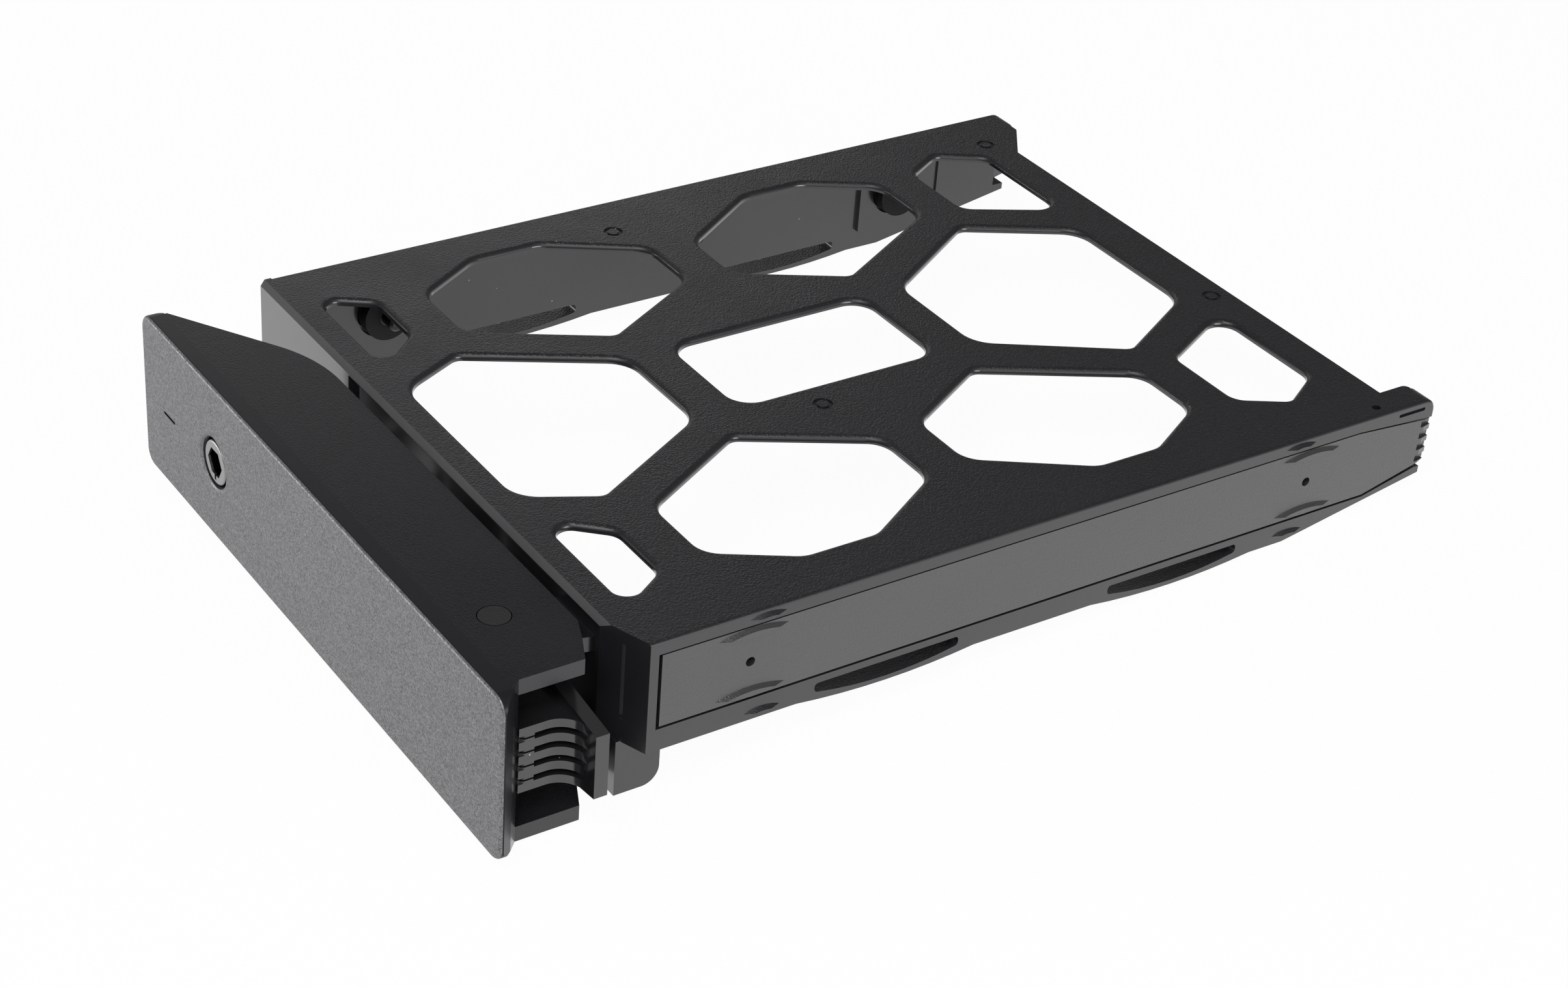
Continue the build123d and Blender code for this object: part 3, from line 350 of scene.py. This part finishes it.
paint_finish, paint_shader = new_finish("metallic_paint", specular_ior_level=0.15)
paint = paint_finish.node_tree
paint_place = add_node(paint, "ShaderNodeTexCoord")
paint_way = add_node(paint, "ShaderNodeSeparateXYZ", {0: paint_place.outputs["Normal"]})
outer_skin = add_node(paint, "ShaderNodeMapRange", {
    "Value": paint_way.outputs["Y"], "From Min": -0.3, "From Max": -0.4})
face_low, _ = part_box("handle_face")
paint_spot = add_node(paint, "ShaderNodeSeparateXYZ", {0: paint_place.outputs["Object"]})
sunk = add_node(paint, "ShaderNodeMath", {
    0: paint_spot.outputs["Y"], 1: face_low.y + SUNK_FROM}, operation="GREATER_THAN")
level = add_node(paint, "ShaderNodeMath", {0: paint_way.outputs["Y"], 1: -0.95}, operation="LESS_THAN")
marked = add_node(paint, "ShaderNodeMath", {0: sunk.outputs[0], 1: level.outputs[0]}, operation="MULTIPLY")
plug_low, plug_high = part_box("lock_plug")
from_lock = add_node(paint, "ShaderNodeVectorMath", {
    0: paint_place.outputs["Object"],
    1: ((plug_low.x + plug_high.x) / 2, face_low.y, (plug_low.z + plug_high.z) / 2)}, operation="DISTANCE")
# Painted shade: a thin ring round the lock gets the bare black, standing for the dark gap round the plug.
painted_shade_ring = add_node(paint, "ShaderNodeMath", {
    0: from_lock.outputs["Value"], 1: (plug_high.z - plug_low.z) / 2 + LOCK_SHADE_RING}, operation="LESS_THAN")
bare_and_painted_shade = add_node(paint, "ShaderNodeMath", {0: marked.outputs[0], 1: painted_shade_ring.outputs[0]}, operation="MAXIMUM")
painted = add_node(paint, "ShaderNodeMath", {
    0: outer_skin.outputs["Result"], 1: bare_and_painted_shade.outputs[0]}, operation="SUBTRACT", use_clamp=True).outputs[0]
flakes = add_node(paint, "ShaderNodeTexVoronoi", {
    "Vector": paint_place.outputs["Object"], "Scale": FLAKES_PER_METRE})
flake_value = add_node(paint, "ShaderNodeSeparateColor", {0: flakes.outputs["Color"]})
flake_tone = add_node(paint, "ShaderNodeMix", {
    "Factor": flake_value.outputs[0], "A": FLAKE_DARK, "B": FLAKE_LIGHT}, data_type="RGBA")
face_tone = add_node(paint, "ShaderNodeMix", {
    "Factor": painted, "A": BARE_BLACK_AND_SHADE, "B": flake_tone.outputs["Result"]}, data_type="RGBA")
face_dusty = dusty(paint, face_tone.outputs["Result"], spacing=0.006)
paint.links.new(face_dusty, paint_shader.inputs["Base Color"])
flake_metal = add_node(paint, "ShaderNodeMapRange", {
    "Value": flake_value.outputs[1], "From Min": 0.2, "From Max": 1.0, "To Min": 0.45, "To Max": 0.8})
face_metal = add_node(paint, "ShaderNodeMath", {
    0: flake_metal.outputs["Result"], 1: painted}, operation="MULTIPLY")
paint.links.new(face_metal.outputs[0], paint_shader.inputs["Metallic"])
flake_rough = add_node(paint, "ShaderNodeMapRange", {
    "Value": flake_value.outputs[2], "To Min": 0.38, "To Max": 0.6})
face_rough = add_node(paint, "ShaderNodeMix", {
    "Factor": painted, "A": BARE_ROUGH, "B": flake_rough.outputs["Result"]}, data_type="FLOAT")
paint.links.new(face_rough.outputs["Result"], paint_shader.inputs["Roughness"])
orange_peel = add_node(paint, "ShaderNodeTexNoise", {
    "Vector": paint_place.outputs["Object"], "Scale": SKIN_SCALE, "Detail": 2.0})
paint_bump = add_node(paint, "ShaderNodeBump", {
    "Height": orange_peel.outputs["Fac"], "Strength": 0.4, "Distance": 0.000018})
paint.links.new(paint_bump.outputs["Normal"], paint_shader.inputs["Normal"])
dress(paint_finish, "handle_face")
print("paint nodes:", len(paint.nodes))

# %% [markdown]
# ## Metals
# The lock is die cast and satin, the nut, cam, clip and screw are zinc plated steel, and the
# pins that hold the drive are blackened, so that they stay dark behind the windows. The lock's
# plug has a satin face, and past a set depth its colour turns dark: painted shade, standing for
# the shade at the bottom of its socket.


# %% Metal finishes
ROUGH_SPREAD = 0.08
SHADE_OVER = 0.15 * MM
SHADE_COLOUR = (0.01, 0.01, 0.01, 1.0)
# The depth behind which the lock plug's colour is painted shade.
PLUG_SHADE_FROM = 0.3 * MM


def metal(name, dark, light, rough, streak_size, painted_shade_beyond=None):
    """A plain metal. Given a depth in Y, its colour turns dark behind it, as painted shade."""
    material, shader = new_finish(name, metallic=1.0)
    tree = material.node_tree
    place = add_node(tree, "ShaderNodeTexCoord")
    cloud = add_node(tree, "ShaderNodeTexNoise", {
        "Vector": place.outputs["Object"], "Scale": 1.0 / streak_size, "Detail": 4.0})
    tone = add_node(tree, "ShaderNodeMix", {
        "Factor": cloud.outputs["Fac"], "A": dark, "B": light}, data_type="RGBA")
    colour = tone.outputs["Result"]
    # Painted shade: behind the given depth the colour turns dark, for the shaded bottom of a socket.
    if painted_shade_beyond is not None:
        depth = add_node(tree, "ShaderNodeSeparateXYZ", {0: place.outputs["Object"]})
        shaded = add_node(tree, "ShaderNodeMapRange", {
            "Value": depth.outputs["Y"], "From Min": painted_shade_beyond, "From Max": painted_shade_beyond + SHADE_OVER})
        colour = add_node(tree, "ShaderNodeMix", {
            "Factor": shaded.outputs["Result"], "A": colour, "B": SHADE_COLOUR},
            data_type="RGBA").outputs["Result"]
    tree.links.new(colour, shader.inputs["Base Color"])
    spread = add_node(tree, "ShaderNodeMapRange", {
        "Value": cloud.outputs["Fac"], "To Min": rough - ROUGH_SPREAD, "To Max": rough + ROUGH_SPREAD})
    tree.links.new(spread.outputs["Result"], shader.inputs["Roughness"])
    bump = add_node(tree, "ShaderNodeBump", {
        "Height": cloud.outputs["Fac"], "Strength": 0.2, "Distance": 0.00001})
    tree.links.new(bump.outputs["Normal"], shader.inputs["Normal"])
    return material


zinc = metal("zinc_plated_steel", (0.42, 0.43, 0.44, 1.0), (0.6, 0.6, 0.6, 1.0),
             rough=0.35, streak_size=0.0008)
die_cast = metal("satin_die_casting", (0.3, 0.3, 0.3, 1.0), (0.4, 0.4, 0.4, 1.0),
                 rough=0.4, streak_size=0.0005)
black_steel = metal("blackened_steel", (0.03, 0.03, 0.032, 1.0), (0.06, 0.06, 0.062, 1.0),
                    rough=0.42, streak_size=0.0006)
dress(zinc, "pivot_clip", "lock_nut", "lock_cam", "cam_screw")
dress(black_steel, *[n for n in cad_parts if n.startswith("drive_pin")])
dress(die_cast, "lock_barrel")
lock_face = metal("satin_lock_face", (0.25, 0.25, 0.25, 1.0), (0.33, 0.33, 0.33, 1.0),
                  rough=0.38, streak_size=0.0005, painted_shade_beyond=plug_low.y + PLUG_SHADE_FROM)
dress(lock_face, "lock_plug")
print("metals done")

# %% [markdown]
# ## The lock's thread
# The lock's barrel is clamped to the lever by a nut, so behind the nut its end shows a fine
# thread. A thread is a small triangle carried along a helix, which is one rule, so Geometry
# Nodes make it: a spiral curve, a three-sided profile, and a turn onto the barrel's own line.


# %% Thread tree
def make_thread_tree():
    tree = bpy.data.node_groups.new("barrel thread", "GeometryNodeTree")
    face = tree.interface
    sizes = {"Radius": 0.005, "Length": 0.002, "Turns": 3.0, "Tooth": 0.0003}
    for name, value in sizes.items():
        face.new_socket(name, in_out="INPUT", socket_type="NodeSocketFloat").default_value = value
    face.new_socket("Middle", in_out="INPUT", socket_type="NodeSocketVector")
    face.new_socket("Finish", in_out="INPUT", socket_type="NodeSocketMaterial")
    face.new_socket("Geometry", in_out="OUTPUT", socket_type="NodeSocketGeometry")
    given = add_node(tree, "NodeGroupInput").outputs
    helix = add_node(tree, "GeometryNodeCurveSpiral", {
        "Resolution": 48, "Rotations": given["Turns"], "Start Radius": given["Radius"],
        "End Radius": given["Radius"], "Height": given["Length"]})
    tooth = add_node(tree, "GeometryNodeCurvePrimitiveCircle", {
        "Resolution": 3, "Radius": given["Tooth"]}, mode="RADIUS")
    sweep = add_node(tree, "GeometryNodeCurveToMesh", {
        "Curve": helix.outputs[0], "Profile Curve": tooth.outputs[0], "Fill Caps": True})
    placed = add_node(tree, "GeometryNodeTransform", {
        "Geometry": sweep.outputs[0], "Translation": given["Middle"], "Rotation": (math.radians(-90), 0, 0)})
    real = add_node(tree, "GeometryNodeRealizeInstances", {0: placed.outputs[0]})
    finished = add_node(tree, "GeometryNodeSetMaterial", {
        "Geometry": real.outputs[0], "Material": given["Finish"]})
    out = add_node(tree, "NodeGroupOutput")
    tree.links.new(finished.outputs[0], out.inputs["Geometry"])
    return tree


thread_tree = make_thread_tree()
print("thread tree nodes:", len(thread_tree.nodes))


# %% Thread piece
def grow(name, tree, **values):
    """Run a Geometry Nodes tree with these input values and keep its result as a plain mesh."""
    carrier = bpy.data.objects.new(name + "_carrier", bpy.data.meshes.new(name + "_carrier"))
    bpy.context.scene.collection.objects.link(carrier)
    modifier = carrier.modifiers.new(name, "NODES")
    modifier.node_group = tree
    for item in tree.interface.items_tree:
        key = item.name.lower()
        if item.in_out == "INPUT" and key in values:
            modifier[item.identifier] = values[key]
    evaluated = carrier.evaluated_get(bpy.context.evaluated_depsgraph_get())
    made = bpy.data.meshes.new_from_object(evaluated)
    carrier.modifiers.clear()
    bpy.data.objects.remove(carrier)
    piece = bpy.data.objects.new(name, made)
    bpy.context.scene.collection.objects.link(piece)
    return piece


THREAD_TURNS = 2.5
THREAD_TOOTH = 0.28 * MM
THREAD_START = 0.1 * MM
THREAD_SHORTER = 0.5 * MM

barrel_low, barrel_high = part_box("lock_barrel")
_, nut_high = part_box("lock_nut")
barrel_middle_x = (barrel_low.x + barrel_high.x) / 2
barrel_middle_z = (barrel_low.z + barrel_high.z) / 2
thread = grow(
    "barrel_thread", thread_tree, radius=(barrel_high.x - barrel_low.x) / 2,
    length=barrel_high.y - nut_high.y - THREAD_SHORTER, turns=THREAD_TURNS, tooth=THREAD_TOOTH,
    finish=die_cast, middle=(barrel_middle_x, nut_high.y + THREAD_START, barrel_middle_z))
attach(thread, "handle")
print("thread faces:", len(thread.data.polygons))

# %% [markdown]
# ## Light
# Large soft boxes stand round a white table. The table looks white to the camera and in gloss.
# The world is white to the camera alone, and to everything else it is a plain even fill.


# %% Lamps and world
def soft_box(name, place, target, size, watts):
    """A rectangular lamp that stands at one place and shines on another."""
    lamp_data = bpy.data.lights.new(name, "AREA")
    lamp_data.shape = "RECTANGLE"
    lamp_data.size, lamp_data.size_y = size
    lamp_data.energy = watts
    lamp = bpy.data.objects.new(name, lamp_data)
    lamp.location = place
    lamp.rotation_euler = (Vector(target) - Vector(place)).to_track_quat("-Z", "Y").to_euler()
    bpy.context.scene.collection.objects.link(lamp)


WORLD_FILL = 0.2
FLOOR_GLOW_SHARE = 0.96
FLOOR_COLOUR = (0.82, 0.82, 0.82, 1.0)
WHITE = (1.0, 1.0, 1.0, 1.0)

middle = (0.0, 0.06, -0.01)
handle_middle = (-0.02, -0.02, -0.015)
soft_box("camera_side_box", (0.5, -0.5, 0.8), middle, size=(0.6, 0.5), watts=9.0)
soft_box("front_left_box", (-0.45, -0.5, 0.0), handle_middle, size=(0.45, 0.1), watts=1.9)
soft_box("low_left_box", (-0.42, 0.14, 0.13), middle, size=(0.4, 0.12), watts=0.22)
soft_box("right_box", (0.9, 0.15, 0.2), middle, size=(0.5, 0.25), watts=5.5)

world = bpy.data.worlds.new("studio")
bpy.context.scene.world = world
world.use_nodes = True
world_tree = world.node_tree
background = world_tree.nodes["Background"]
background.inputs["Color"].default_value = WHITE
ray = add_node(world_tree, "ShaderNodeLightPath")
seen = add_node(world_tree, "ShaderNodeMix", {
    "Factor": ray.outputs["Is Camera Ray"], "A": WORLD_FILL, "B": 1.0}, data_type="FLOAT")
world_tree.links.new(seen.outputs["Result"], background.inputs["Strength"])
bpy.context.scene.view_settings.view_transform = "Standard"

floor_finish, floor_shader = new_finish("white_table", roughness=0.6)
floor_shader.inputs["Base Color"].default_value = FLOOR_COLOUR
floor_tree = floor_finish.node_tree
floor_ray = add_node(floor_tree, "ShaderNodeLightPath")
glow = add_node(floor_tree, "ShaderNodeEmission", {"Color": WHITE, "Strength": 1.0})
floor_seen = add_node(floor_tree, "ShaderNodeMath", {
    0: floor_ray.outputs["Is Camera Ray"], 1: floor_ray.outputs["Is Glossy Ray"]}, operation="MAXIMUM")
floor_share = add_node(floor_tree, "ShaderNodeMath", {
    0: floor_seen.outputs[0], 1: FLOOR_GLOW_SHARE}, operation="MULTIPLY")
floor_mix = add_node(floor_tree, "ShaderNodeMixShader", {
    0: floor_share.outputs[0], 1: floor_shader.outputs[0], 2: glow.outputs[0]})
floor_tree.links.new(floor_mix.outputs[0], floor_tree.nodes["Material Output"].inputs["Surface"])
floor_mesh.materials.append(floor_finish)
